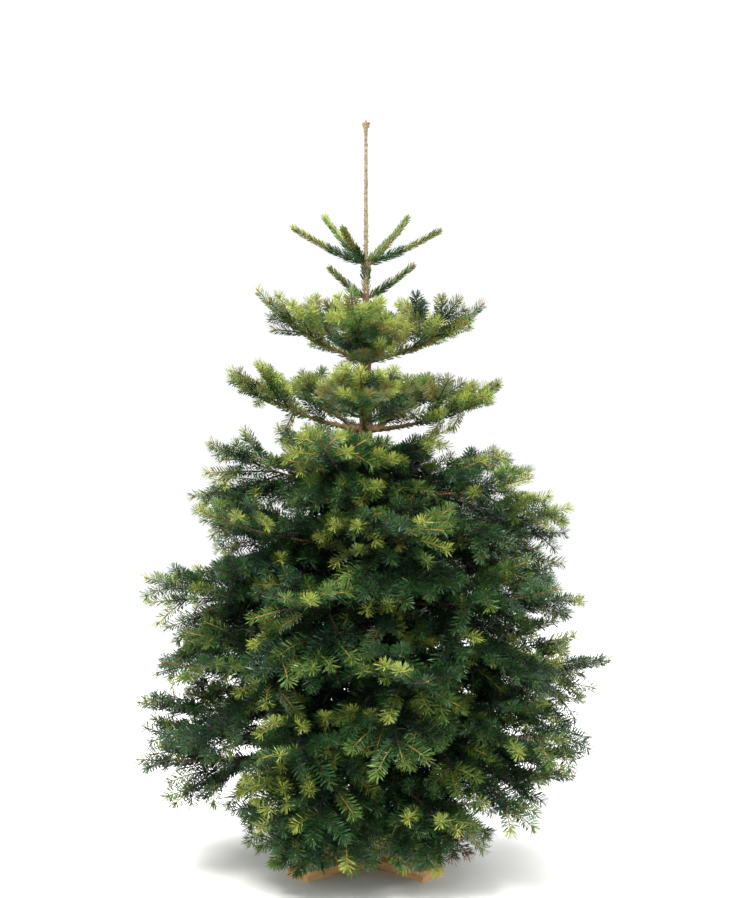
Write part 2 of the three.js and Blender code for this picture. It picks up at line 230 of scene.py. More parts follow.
class Bough(Axis):
    """An arc of a circle in its own upright plane, as in the CAD source."""

    def __init__(self, index, k):
        self.tier = TIERS[index]
        self.index = index
        self.azimuth = radians(self.tier["azimuths"][k])
        self.full = self.tier["lengths"][k]
        self.first, self.last = [radians(r + self.tier["lifts"][k]) for r in self.tier["rise"]]
        self.turn = (self.last - self.first) / self.full
        self.out = heading(self.azimuth)
        self.across = np.array([-math.sin(self.azimuth), math.cos(self.azimuth), 0])
        self.foot = trunk_centre(self.tier["height"])[0]
        self.seed = 100 * (index + 1) + k
        self.length = self.full - TIP_INSET

    def arc(self, s):
        """Middle line, direction and upward axis at a distance along the bough."""
        s = np.atleast_1d(np.asarray(s, dtype=float))
        rise = self.first + self.turn * s
        away = (np.sin(rise) - math.sin(self.first)) / self.turn
        high = (math.cos(self.first) - np.cos(rise)) / self.turn
        centre = self.foot + away[:, None] * self.out + high[:, None] * UP
        along = np.cos(rise)[:, None] * self.out + np.sin(rise)[:, None] * UP
        up = -np.sin(rise)[:, None] * self.out + np.cos(rise)[:, None] * UP
        return centre, along, up

    def centre(self, u):
        return self.arc(np.asarray(u) * self.length)[0]

    def along(self, u):
        return self.arc(np.asarray(u) * self.length)[1]

    def up_at(self, u):
        return self.arc(np.asarray(u) * self.length)[2]

    def radius(self, u):
        slim = BOUGH_SLIM["full" if self.index >= ZONES[1][0] else "open"]
        return slim * self.tier["stem"] * (1 - 0.8 * np.asarray(u) ** 0.8)


class Twig(Axis):
    """A line that bends evenly away from its first direction."""

    def __init__(self, start, direction, up, length, bend, radii):
        self.start, self.direction, self.up, self.length = start, direction, up, length
        self.bend, self.radii = bend, radii

    def centre(self, u):
        u = np.reshape(u, (-1, 1))
        return self.start + self.direction * self.length * u + self.bend * u * u

    def along(self, u):
        u = np.reshape(u, (-1, 1))
        return unit(self.direction * self.length + 2 * self.bend * u)

    def up_at(self, u):
        return np.tile(self.up, (len(np.atleast_1d(u)), 1))

    def radius(self, u):
        return self.radii[0] + (self.radii[1] - self.radii[0]) * np.asarray(u)


def side_twigs(bough):
    """The side twigs of a bough, drawn as the CAD source draws them."""
    tier = bough.tier
    draw = seeded_random(bough.seed)
    twigs = []
    for i in range(tier["twigs"]):
        share = tier["first"] + (LAST_TWIG - tier["first"]) * i / (tier["twigs"] - 1)
        side = 1 if i % 2 else -1
        angle = radians(TWIG["angle"] + TWIG["angleSpread"] * (draw() - 0.5))
        tilt = radians(tier["tilts"][0 if i % 4 < 2 else 1] * (0.5 + draw()))
        size = tier["spread"] * (TWIG["reach"] - share) ** TWIG["taper"] * (0.88 + 0.24 * draw())
        start = (share + TWIG["shift"] * (draw() - 0.5)) * bough.full
        draw()  # the twig's roll, which only the CAD source needs
        centre, along, up = [a[0] for a in bough.arc(start)]
        direction = (along * math.cos(angle) + bough.across * side * math.sin(angle) * math.cos(tilt)
                     + up * math.sin(angle) * math.sin(tilt))
        length = size * bough.full - TIP_INSET
        upward = unit(up - direction * (up @ direction))
        twigs.append(Twig(centre, direction, upward, length, DOWN * TWIG["sag"] * length, TWIG_RADII))
    return twigs


# ---- Needles and buds ----
# Each tint is a kind of needle piece: its plain base colour and the record's slot.
TINTS = {
    # deep is partly the older needles' own colour and partly painted shade for the inside of the crown.
    "deep": (srgb(18, 42, 22), "needles"),
    "blue": (srgb(29, 56, 42), "needles"),
    "mid": (srgb(38, 74, 33), "needles"),
    # fresh and lime are partly the paler young growth and partly painted highlight on the lit tops of shoots.
    "fresh": (srgb(88, 115, 49), "young_needles"),
    "lime": (srgb(146, 160, 72), "young_needles"),
    "olive": (srgb(112, 114, 56), "young_needles"),
    "grey": (srgb(106, 124, 86), "needles"),
    "gold": (srgb(124, 116, 84), "young_needles"),
    "rust": (srgb(88, 60, 40), "needles"),
}
needle_rows = {(tint, fine): [] for tint in TINTS for fine in (True, False)}
old_wood, young_wood, buds = Store(), Store(), []

NEEDLE = {"length": 27, "width": 2.9, "perMetre": 1300, "waist": 0.78, "root": 0.45}
INNER_NEEDLE = {"perMetre": 1080, "width": 3.9, "waist": 0.62}
HIDDEN = {"density": 0.64, "width": 8.0, "size": 1.2}  # the fewer, broader needles of shoots by the trunk
STAR = {"width": 2.0, "density": 2.7, "size": 0.94, "run": 0.8}  # the finer needles that close a tip
FEWEST = 4  # a stretch with room for fewer needles gets none
GOLDEN = 0.618034  # spreads the needles evenly round their shoot
# Needles all round a shoot: the least angle from its line and what chance adds, and the same of their length.
ALL_ROUND = {"round": (24, 19, 0.8, 0.2), "pressed": (20, 24, 0.4, 0.2)}
# Needles in two ranks: the parting on top, and how far round the shoot they come from there, in degrees.
PARTING, RANKS = 16, {"limb": 150, "combed": 126}
TIP_STAR = 10  # the needles this near a tip stand out round it
TIP_LEAN, TIP_FAN = 16, {"round": 34, "limb": 62, "combed": 62}  # their least angle, and what chance adds
TIP_SLIM, TIP_SHORT = 0.78, 0.72  # their width, and their length on a round shoot, against the shoot's
TIP_TINT = 18  # this near a tip the top tint comes down over the sides
TOP_SPAN, TOP_SPAN_AT_TIP, UNDERSIDE = 44, 95, 112  # where the top tint, painted light on the shoot's lit top, ends and the underside begins
ROLL, ROLL_ALL_ROUND = 0.35, 0.7  # how far the needles' flat sides turn at random
STRAY = 0.045  # how far their directions do


def add_needles(axis, u0, u1, side_tint, lit_top_tint, rng, style="combed", size=1.0, density=1.0, fine=True,
                width=None):
    """Needles along an axis from u0 to u1: in two ranks that part on top, or all round a rising shoot."""
    kind = NEEDLE if fine else INNER_NEEDLE
    run = (u1 - u0) * axis.length
    count = int(kind["perMetre"] * density * run * MM)
    if count < FEWEST:
        return
    order = np.arange(count)
    u = u0 + (u1 - u0) * (order + 0.2 + 0.6 * rng.random(count)) / count
    along, side, up = axis.frames(u)
    hand = np.where(order % 2, 1.0, -1.0)
    pick = np.clip((order // 2 * GOLDEN) % 1 + 0.03 * rng.standard_normal(count), 0, 1)
    left = (1 - u) * axis.length  # distance to the tip
    at_tip = left < TIP_STAR
    # Theta is a needle's place round the shoot, from the top down. Lean is its angle from the shoot's line.
    if style in ALL_ROUND:
        least_lean, more_lean, least_long, more_long = ALL_ROUND[style]
        theta = np.radians(180 * pick)
        lean = np.radians(least_lean + more_lean * rng.random(count))
        long = least_long + more_long * rng.random(count)
    else:
        theta = np.radians(PARTING + RANKS[style] * pick ** 0.85)
        lean = np.radians(46 + 18 * np.sin(theta) + 8 * rng.random(count))
        long = 0.68 + 0.26 * np.sin(theta) ** 2 + 0.08 * rng.random(count)
    if style != "pressed":
        theta = np.where(at_tip, np.radians(180 * pick), theta)
        lean = np.where(at_tip, np.radians(TIP_LEAN + TIP_FAN[style] * rng.random(count)), lean)
    if style == "round":
        long = np.where(at_tip, TIP_SHORT * long, long)
    outward = np.cos(theta)[:, None] * up + (np.sin(theta) * hand)[:, None] * side
    direction = np.cos(lean)[:, None] * along + np.sin(lean)[:, None] * outward
    direction = unit(direction + STRAY * rng.standard_normal((count, 3)))
    roll = ROLL_ALL_ROUND if style in ALL_ROUND else ROLL
    flat = np.cross(direction, up - 0.35 * along) + roll * rng.standard_normal((count, 3))
    flat = unit(flat - direction * np.sum(flat * direction, axis=1, keepdims=True))
    root = axis.centre(u) + outward * (0.5 * axis.radius(u))[:, None]
    lift = up * 0.12 + along * 0.1
    length = NEEDLE["length"] * size * long * (0.93 + 0.14 * rng.random(count))
    widths = np.where(at_tip & fine, TIP_SLIM, 1) * (width or kind["width"])
    row = np.concatenate([root, direction, flat, lift, length[:, None], widths[:, None]], 1)
    # Needles on a shoot's top take the lighter top tint. This is painted light where light falls from above;
    # near the tip it is also the paler young growth.
    top_span = np.where(left < TIP_TINT, radians(TOP_SPAN_AT_TIP), radians(TOP_SPAN))
    on_top = (theta < top_span) | at_tip
    below = fine & (theta > radians(UNDERSIDE)) & ~at_tip
    needle_rows[side_tint, fine].append(row[~on_top & ~below])
    needle_rows[side_tint, False].append(row[below])
    needle_rows[lit_top_tint, fine].append(row[on_top])


def needle_mesh(rows, fine):
    """Strap-shaped needles of three faces: a narrow root, full width near the end, and a short point.
    The plain ones inside the crown have two faces, from a pointed root.
    """
    root, direction, flat, lift = rows[:, 0:3], rows[:, 3:6], rows[:, 6:9], rows[:, 9:12]
    length = rows[:, 12:13]
    half = flat * rows[:, 13:14] / 2
    bend = lift * length

    def at(share):
        return root + direction * length * share + bend * share * share

    broad = NEEDLE["waist"] if fine else INNER_NEEDLE["waist"]
    if fine:
        roots = [at(0) - half * NEEDLE["root"], at(0) + half * NEEDLE["root"]]
        corners = [*roots, at(broad) + half, at(broad) - half, at(1)]
        pattern = np.array([[0, 1, 2], [0, 2, 3], [3, 2, 4]])
    else:
        corners = [at(0), at(broad) + half, at(broad) - half, at(1)]
        pattern = np.array([[0, 1, 2], [2, 1, 3]])
    points = np.stack(corners, 1).reshape(-1, 3)
    first = len(corners) * np.arange(len(rows))[:, None, None]
    return points, (first + pattern[None]).reshape(-1, 3)


# A bud is an egg of two rings: the place of each along it and its radius against the bud's width.
BUD_RINGS, BUD_SIDES = [(0.18, 0.42), (0.62, 0.46)], 3
# The buds at a shoot's end: length, width, and how far inside the tip they start.
END_BUD, SIDE_BUD = (6.5, 4.0, 1.0), (5.2, 3.4, 2.5)
BUD_SPLAY = 0.9  # how far the side buds turn out


def bud_mesh():
    """Pointed egg-shaped buds."""
    store = Store()
    faces = tube_faces(len(BUD_RINGS), BUD_SIDES)
    angle = 2 * np.pi * np.arange(BUD_SIDES) / BUD_SIDES
    for place, direction, length, width in buds:
        helper = UP if abs(direction[2]) < 0.9 else np.array([1.0, 0, 0])
        side = unit(np.cross(direction, helper))
        up = np.cross(side, direction)
        ring = side[None] * np.cos(angle)[:, None] + up[None] * np.sin(angle)[:, None]
        rings = [place + direction * length * share + ring * width * wide for share, wide in BUD_RINGS]
        store.add(np.concatenate([*rings, [place], [place + direction * length]]), faces)
    return store.arrays()


def bud_cluster(axis, rng, size=1.0, around=2):
    """A bud at an axis' tip and others beside it."""
    end = axis.centre(1.0)[0]
    along, side, up = [a[0] for a in axis.frames(np.array([1.0]))]
    length, width, inside = END_BUD
    buds.append((end - along * inside, along, length * size, width * size))
    length, width, inside = SIDE_BUD
    for i in range(around):
        angle = 2 * np.pi * (i + 0.4 * rng.random()) / around
        aside = side * math.cos(angle) + up * math.sin(angle)
        buds.append((end - along * inside, unit(along + aside * BUD_SPLAY), length * size, width * size))


TWIG_SIDES = 3
UNEVEN = 0.12  # how far a twig's radius varies


def add_wood(axis, u0, u1, store, step, rng):
    """The wood of an axis from u0 to u1."""
    rings = max(2, int((u1 - u0) * axis.length / step) + 1)
    u = np.linspace(u0, u1, rings)
    _, side, up = axis.frames(u)
    radii = axis.radius(u) * (1 + UNEVEN * (rng.random(rings) - 0.5))
    store.add(*tube(axis.centre(u), side, up, radii, TWIG_SIDES))


# ---- Which spray gets which tint ----
# For the shoots' last stretch and for what lies behind it: a tint for the sides, one for the top, a weight.
# The top tint is mostly the lighter one, as painted light on the shoots' lit tops.
TIP_SPRAYS = {
    "single": [("fresh", "lime", 3), ("olive", "lime", 3), ("fresh", "gold", 2), ("olive", "fresh", 2)],
    "upper": [
        ("fresh", "lime", 4), ("lime", "lime", 1.5), ("olive", "lime", 3), ("olive", "fresh", 2.5),
        ("mid", "olive", 2), ("grey", "olive", 1.5), ("blue", "mid", 2), ("deep", "mid", 0.8),
    ],
    "shoulder": [
        ("lime", "lime", 0.8), ("fresh", "lime", 3.5), ("fresh", "fresh", 2), ("mid", "fresh", 3),
        ("mid", "lime", 2.2), ("blue", "mid", 2), ("grey", "lime", 1), ("deep", "mid", 2.4),
    ],
    "body": [
        ("fresh", "lime", 1.8), ("mid", "lime", 2.2), ("fresh", "fresh", 1.5), ("mid", "fresh", 4),
        ("mid", "mid", 3), ("blue", "mid", 2), ("grey", "fresh", 0.2), ("deep", "mid", 3),
    ],
}
# Darker tints for twigs that hang under a bough: painted shade beneath the boughs.
UNDER_SHADE_SPRAYS = [("mid", "fresh", 1.5), ("mid", "mid", 3), ("blue", "mid", 2), ("deep", "mid", 4)]
# Tints for the old stretch behind a shoot's young end and for shoots inside the crown. Part of this is the
# older needles' own darker green; in the shoulder and body the deep tints are also painted shade of the
# crown's inside.
INNER_SPRAYS = {
    "single": [("mid", "mid", 1), ("mid", "olive", 2.5), ("olive", "fresh", 2)],
    "upper": [("mid", "olive", 3), ("mid", "mid", 1), ("fresh", "olive", 4), ("olive", "fresh", 3)],
    "shoulder": [("deep", "deep", 3), ("mid", "deep", 3), ("blue", "mid", 2), ("mid", "mid", 2)],
    "body": [("deep", "deep", 5), ("mid", "deep", 2), ("blue", "deep", 2), ("deep", "mid", 2)],
}
# Lighter tints in place of the inner ones for shoots near the crown's edge: painted light where they stand in
# the light.
RIM_LIT_SPRAYS = [
    ("mid", "mid", 4), ("blue", "mid", 3), ("deep", "mid", 2), ("mid", "fresh", 1), ("grey", "mid", 0.3),
]


def zone_of(index):
    return next(zone for last, zone in ZONES if index < last)


def deal(choices, rng):
    weights = np.array([c[2] for c in choices], dtype=float)
    return choices[rng.choice(len(choices), p=weights / weights.sum())][:2]


# ---- Growth ----
TIP_RUN = 62  # length of the youngest stretch at a shoot's end
RIM = 0.6  # share of the crown's reach from where its shoots stand in the light
SHORTEST = 28  # a shoot that must be shorter than this to stay above the floor is left out
CUT_BACK, CUTS = 0.75, 3  # how much a shoot that reaches too low is shortened, and how often at most
LIKE_ITS_TWIG = 0.72  # how often a shoot takes the tints of the twig that bears it
SIDE_BUDS = 0.25  # how often a twig's end bud has two beside it
OLD_STEP, YOUNG_STEP = 34, 30  # between the rings of a twig's wood
BRIGHT = ("lime", "fresh", "gold")  # lighter top tints, partly painted light, of shoots with young wood


def fits(axis):
    """Shortens a shoot until its tip stays above the floor, and says whether it then does."""
    for _ in range(CUTS):
        if axis.centre(1.0)[0][2] > LOWEST_TIP + 8:
            return axis.length > SHORTEST
        axis.length *= CUT_BACK
        axis.bend = axis.bend * CUT_BACK
    return False


def side_shoot(parent, u, hand, length, angle, tilt, bend, radii):
    """A shoot that leaves a parent at u to one side, tilted up out of the parent's plane."""
    along, side, up = [a[0] for a in parent.frames(np.array([u]))]
    a, t = radians(angle), radians(tilt)
    direction = along * math.cos(a) + (side * hand * math.cos(t) + up * math.sin(t)) * math.sin(a)
    upward = unit(up - direction * (up @ direction))
    return Twig(parent.centre(u)[0], unit(direction), upward, length, -DOWN * bend * length, radii)


def at_rim(axis):
    """Whether a shoot stands near the crown's edge."""
    x, y, z = axis.centre(0.5)[0]
    heights, reaches = zip(*[(tier["height"], max(tier["lengths"])) for tier in reversed(TIERS)])
    return math.hypot(x, y) > RIM * np.interp(z, heights, reaches)


def dress(axis, zone, rng, start=0.04, outer=True, tints=None, below=False, hidden=False, placed=False):
    """Wood, needles and buds of one needled shoot. Returns the tints of its tip."""
    size, slim, density = NEEDLE_FORM[zone]
    split = max(start, 1 - TIP_RUN / axis.length)
    style = "limb" if zone == "upper" else "combed"
    inner = RIM_LIT_SPRAYS if zone in FULL and at_rim(axis) else INNER_SPRAYS[zone]
    own = deal((UNDER_SHADE_SPRAYS if below else TIP_SPRAYS[zone]) if outer else inner, rng)
    tints = tints if tints and outer and (placed or rng.random() < LIKE_ITS_TWIG) else own
    plain = INNER_NEEDLE["width"] * slim
    if hidden:
        density, plain, size = HIDDEN["density"], HIDDEN["width"], HIDDEN["size"]
    width = NEEDLE["width"] * slim if outer else plain
    add_needles(axis, split, 1, *tints, rng, style, size, density, outer, width)
    if outer:
        star_from = 1 - STAR["run"] * TIP_STAR / axis.length
        add_needles(axis, star_from, 1, *tints, rng, style, size * STAR["size"], STAR["density"],
                    width=STAR["width"] * slim)
    if split > start:
        add_needles(axis, start, split, *deal(inner, rng), rng, style, size, density, False, plain)
        add_wood(axis, 0, split, old_wood, OLD_STEP, rng)
    # Shoots with a light top tint get the orange young wood; the rest get the darker old wood, whose darkness
    # is partly painted shade.
    wood = young_wood if tints[1] in BRIGHT else old_wood
    add_wood(axis, split if split > start else 0, 1, wood, YOUNG_STEP, rng)
    if outer:
        bud_cluster(axis, rng, 0.9, 2 if rng.random() < SIDE_BUDS else 0)
    return tints


# Side shoots of a twig: the length of twig for each pair, their shortest and longest, and the share of the
# twig from where they are finished as outer ones.
PAIR_EVERY, SHORTEST_SIDE, LONGEST_SIDE, LONGEST_OPEN, OUTER_FROM = 118, 36, 128, 70, 0.6
# How much chance bends them down: on twigs that start above a height, and below it.
DROOP_HEIGHT, DROOP_ABOVE, DROOP_BELOW = 385, 0.3, 0.1


def branch_out(axis, zone, rng, tilt, outer=True, tints=None, below=False, hidden=False):
    """Pairs of side shoots along a twig, each shorter than what is left of the twig."""
    is_open = zone == "upper"
    nodes = 1 if is_open else max(1, round(axis.length / PAIR_EVERY))
    longest = LONGEST_OPEN if is_open else LONGEST_SIDE
    droop = DROOP_ABOVE if axis.start[2] > DROOP_HEIGHT else DROOP_BELOW
    for j in range(nodes):
        u = (j + 0.7) / (nodes + 0.5)
        left = (1 - u) * axis.length
        near_tip = u > OUTER_FROM
        for hand in (-1, 1):
            length = float(np.clip((0.74 + 0.3 * rng.random()) * left, SHORTEST_SIDE, longest))
            place = u + 0.03 * (rng.random() - 0.5)
            angle = 38 + 14 * rng.random()
            lift = tilt[0] + (tilt[1] - tilt[0]) * rng.random()
            chance = rng.random()
            bend = 0.04 * chance if is_open else -0.1 - droop * chance
            shoot = side_shoot(axis, place, hand, length, angle, lift, bend, (1.5, 1.1))
            if fits(shoot):
                dress(shoot, zone, rng, outer=outer or near_tip, tints=tints, below=below,
                      hidden=hidden and not near_tip)


SINGLE_YOUNG, SINGLE_DENSITY, SINGLE_OLD = 0.55, 2.1, 1.25  # its young share, and the old needles' size


def grow_single(bough, rng):
    """A bough that is one needled shoot."""
    split = 1 - SINGLE_YOUNG
    size, slim, density = NEEDLE_FORM["single"]
    width = NEEDLE["width"] * slim
    density *= SINGLE_DENSITY
    tints = deal(TIP_SPRAYS["single"], rng)
    add_needles(bough, split, 1, *tints, rng, "round", size, density, width=width)
    tints, size = deal(INNER_SPRAYS["single"], rng), size * SINGLE_OLD
    add_needles(bough, 0.04, split, *tints, rng, "round", size, density, width=width)
    bud_cluster(bough, rng, 1.2, 4)


# Hanging twigs of the lowest tiers, by tier: the side each leaves to and the share of the bough where.
DROOPS = {8: [(1, 0.3), (-1, 0.42)], 9: [(1, 0.2), (-1, 0.32), (1, 0.44), (-1, 0.56)]}
# Long twigs over and under the full crown's boughs: the side they leave to, and up or down. The crown's
# first tier, False, has no upper one.
LONG_TWIGS = {False: [(-1, -1), (1, -1)], True: [(1, 1), (-1, -1), (1, -1)]}
# Boughs without a long twig above (1) or below (-1).
SPARED = {(6, 2): 1, (7, 0): 1, (8, 2): -1, (7, 2): -1}
# Single twigs that stand out of the crown, by tier and bough: the share of the bough where each leaves, where
# its tip comes to lie, and for a few their tints. TRUNK_TWIGS leave the trunk, at a height.
OWN_TWIGS = {
    (2, 3): [(0.46, -118, -14, 1352), (0.5, -218, -16, 1272)],
    (2, 0): [(0.6, 206, -30, 1262), (0.5, 222, -26, 1345), (0.44, 120, 20, 1362)],
    (2, 4): [(0.55, -6, -300, 1296), (0.4, 60, -210, 1268)],
    (3, 4): [(0.6, 8, -352, 1104)],
    (3, 0): [(0.56, 150, -30, 1008), (0.7, 210, -24, 1040)],
    (3, 3): [(0.5, -200, -30, 1012)],
    (4, 2): [(0.55, -378, -40, 930, ("fresh", "lime")), (0.42, -408, -30, 874), (0.36, -168, -130, 866)],
    (4, 0): [(0.5, 388, 110, 866)],
    (5, 3): [(0.5, -336, -70, 822)],
    (5, 2): [(0.55, -404, 118, 812), (0.48, -368, 108, 738)],
    (5, 0): [
        (0.62, 488, -20, 846, ("grey", "lime")), (0.5, 470, -50, 788), (0.42, 404, -70, 752),
        (0.4, 466, 10, 712),
    ],
    (6, 2): [(0.42, -518, -10, 620), (0.36, -440, 30, 580), (0.3, -420, -60, 540), (0.4, -466, -50, 566)],
    (6, 4): [(0.5, 504, -70, 628), (0.42, 456, -80, 604)],
    (7, 0): [
        (0.4, 494, -70, 548, ("fresh", "lime")), (0.34, 452, -40, 582), (0.48, 540, -30, 418),
        (0.4, 516, 40, 376), (0.34, 468, -60, 346), (0.44, 520, 20, 444), (0.3, 350, -90, 540),
    ],
    (8, 4): [(0.34, 240, -180, 424), (0.4, 356, -170, 372), (0.44, 300, -210, 330)],
    (9, 0): [(0.55, 508, -64, 272), (0.36, 336, -110, 222)],
    (9, 3): [(0.62, -528, -30, 326), (0.5, -440, -20, 224), (0.5, -380, -40, 162), (0.42, -318, -80, 158)],
    (9, 4): [
        (0.5, -30, -352, 84), (0.62, 4, -372, 100), (0.72, -148, -400, 128), (0.6, -146, -330, 76),
        (0.56, -190, -292, 84),
    ],
    (9, 5): [
        (0.5, 72, -352, 96), (0.58, 134, -350, 100), (0.66, 222, -270, 94, ("rust", "rust")),
        (0.8, 262, -262, 122), (0.6, 152, -318, 76), (0.6, 276, -180, 112), (0.5, 230, -190, 204),
    ],
}
TRUNK_TWIGS = [
    (1198, -4, -128, 1206), (1200, -62, -96, 1246), (1196, 34, -110, 1232), (1212, 10, -140, 1280),
    (935, -212, -40, 1036), (940, 202, -40, 1036), (900, 118, -150, 1010), (905, -8, -262, 1000),
    (845, 26, -300, 906), (775, -16, -340, 820), (712, -14, -290, 764), (650, 10, -380, 690),
    (590, 42, -240, 630), (520, 150, -200, 545), (780, 90, 210, 818), (700, -200, 16, 742),
    (705, 200, 16, 745),
]
OWN_SAG, OWN_BRANCHES_FROM = 0.06, 100  # the sag of these twigs, and the length from where they branch
# Degrees that side shoots tilt out of their twig's plane: mostly, on side twigs, and by the trunk.
LEVEL, TRUNK_TILTS = (-30, 30), (-40, 40)
SIDE_TILTS = {"upper": (-32, 34), "shoulder": (-34, 38), "body": (-34, 38)}


def grow_own(start, tip, zone, rng, tints=None):
    """A twig from a start to a tip, with its side shoots."""
    span = np.array(tip) - start
    length = float(np.linalg.norm(span))
    sag = DOWN * OWN_SAG * length
    direction = unit(span - sag)
    twig = Twig(start, direction, unit(UP - direction * direction[2]), length, sag, (2.3, 1.3))
    tints = dress(twig, zone, rng, start=0.1, tints=tints, placed=True)
    if twig.length > OWN_BRANCHES_FROM:
        branch_out(twig, zone, rng, LEVEL, tints=tints)


# The share of a bough that is bare, where its tier names none, and the length of its young end.
BARE_FOOT, BOUGH_YOUNG = {"upper": 0.3, "shoulder": 0.12, "body": 0.12}, 90
# Size and density of the small needles all round an open bough: on those that show bare, True, and others.
SMALL_NEEDLES = {True: (0.55, 0.7), False: (0.8, 1.1)}
# Pairs of shoots at a bough's end: the share of it where they leave, and their length against the bough's.
END_PAIRS, THIRD_TIER_PAIRS = [(0.70, 0.25), (0.84, 0.15)], [(0.62, 0.24)]
LONG_REACH, LONG_ANGLE = {1: 0.96, -1: 1.02}, {1: 20, -1: 25}  # of long twigs above (1) and below (-1)
FRONT, SIDEWAYS = -0.5, 0.9  # how far a bough points to the front, and to a side
LONGEST_DROOP = 210
GAP_PAIRS = {True: 2, False: 1}  # pairs of short shoots on a bough that shows bare, True, and on others


def needle_bough(bough, zone, bare, rng):
    """The needles on a bough itself."""
    size, slim, density = NEEDLE_FORM[zone]
    split = 1 - BOUGH_YOUNG / bough.length
    tints = deal(TIP_SPRAYS[zone], rng)
    add_needles(bough, split, 1, *tints, rng, "limb", size, density, width=NEEDLE["width"] * slim)
    tints = deal(INNER_SPRAYS[zone], rng)
    plain = INNER_NEEDLE["width"] * slim
    add_needles(bough, bare, split, *tints, rng, "limb", size, density, False, plain)
    if zone == "upper":
        size, density = SMALL_NEEDLES["bough" in bough.tier]
        tints = deal(INNER_SPRAYS[zone], rng)
        add_needles(bough, 0.05, split, *tints, rng, "round", size, density, False)


def grow_end_shoots(bough, zone, rng):
    """Pairs of shoots at a bough's end."""
    is_open = zone == "upper"
    for share, reach in THIRD_TIER_PAIRS if is_open and "bough" not in bough.tier else END_PAIRS:
        for hand in (-1, 1):
            length = reach * bough.full * (0.85 + 0.3 * rng.random())
            place = share + 0.02 * rng.random()
            angle = 40 + 10 * rng.random()
            tilt = -30 + 70 * rng.random()
            bend = 0.03 if is_open else -0.12
            shoot = side_shoot(bough, place, hand, length, angle, tilt, bend, (1.8, 1.2))
            if fits(shoot):
                dress(shoot, zone, rng)


def grow_twig(twig, zone, rng, below=False):
    """A twig with its side shoots, if there is room for it."""
    if fits(twig):
        tints = dress(twig, zone, rng, start=0.15, below=below)
        branch_out(twig, zone, rng, LEVEL, tints=tints, below=below)


def grow_long_twigs(bough, k, zone, rng):
    """Long twigs that run on over and under a bough and fill the space to the next tier."""
    lowest = len(TIERS) - 1
    for hand, height in LONG_TWIGS[bough.index > ZONES[1][0]]:
        share = 0.28 + 0.1 * rng.random()
        length = (LONG_REACH[height] - share) * bough.full * (0.84 + 0.16 * rng.random())
        if height < 0 and bough.index == lowest and bough.out[1] > FRONT:
            continue  # the lowest tier lets none hang, but for its front
        if SPARED.get((bough.index, k)) == height:
            continue
        angle = LONG_ANGLE[height] + 6 * rng.random()
        tilt = height * (62 + 16 * rng.random())
        twig = side_shoot(bough, share, hand, length, angle, tilt, -0.06 * height, (2.6, 1.3))
        # Long twigs hanging under a bough, above the lowest two tiers, take the darker tints as painted
        # shade.
        grow_twig(twig, zone, rng, below=height < 0 and bough.index < lowest - 1)


def grow_droops(bough, zone, rng):
    """Hanging twigs of the lowest tiers, which come down over the stand."""
    for hand, share in DROOPS.get(bough.index, []):
        room = bough.centre(share)[0][2] - LOWEST_TIP - 20
        length = min(room / 0.72, LONGEST_DROOP)
        angle = 52 + 8 * rng.random()
        tilt = -66 - 12 * rng.random()
        grow_twig(side_shoot(bough, share, hand, length, angle, tilt, -0.1, (2.4, 1.3)), zone, rng)


def grow_gap_shoots(bough, zone, bare, rng):
    """Short shoots in the gaps between a bough's twigs."""
    is_open = zone == "upper"
    pairs = GAP_PAIRS["bough" in bough.tier]
    first = bare * 0.7
    for i in range(pairs):
        for hand in (-1, 1):
            share = first + (LAST_TWIG - first) * (i + rng.random()) / pairs
            tilt = (-10 + 60 * rng.random()) if is_open else (-75 + 150 * rng.random())
            length = 70 + 40 * rng.random()
            angle = 46 + 14 * rng.random()
            shoot = side_shoot(bough, share, hand, length, angle, tilt, 0.04, (1.6, 1.1))
            if fits(shoot):
                dress(shoot, zone, rng, outer=is_open or share > 0.5)


def grow_bough(index, k):
    """A bough's needles, and its twigs with all that they bear."""
    bough = Bough(index, k)
    zone = zone_of(index)
    rng = np.random.default_rng(bough.seed)
    if zone == "single":
        grow_single(bough, rng)
        return bough
    bare = bough.tier.get("bough", BARE_FOOT[zone])
    needle_bough(bough, zone, bare, rng)
    bud_cluster(bough, rng, 1.1, 3)
    for twig in side_twigs(bough):
        tints = dress(twig, zone, rng, start=0.12)
        if zone in FULL or "bough" in bough.tier:
            branch_out(twig, zone, rng, SIDE_TILTS[zone], tints=tints)
    grow_end_shoots(bough, zone, rng)
    if zone in FULL:
        grow_long_twigs(bough, k, zone, rng)
    for share, x, y, z, *tints in OWN_TWIGS.get((index, k), []):
        grow_own(bough.centre(share)[0], (x, y, z), zone, rng, *tints)
    if abs(bough.out[0]) < SIDEWAYS:
        grow_droops(bough, zone, rng)
    grow_gap_shoots(bough, zone, bare, rng)
    return bough


# Shoots straight from the trunk: their range and number, a stretch without them below the fourth tier, and
# the height from where they are open shoots and not hidden ones.
SHOOT_RANGE, SHOOT_COUNT, SHOOT_GAP, OPEN_SHOOTS = (215, 1125), 84, (925, 1040), 1040
# Their height, length and rise in degrees, read straight between.
SHOOT_COURSE = [(215, 240, -22), (400, 320, -4), (700, 300, 8), (950, 190, 24), (1125, 96, 38)]
GOLDEN_ANGLE = 2.39996  # between one shoot and the next as they climb the trunk


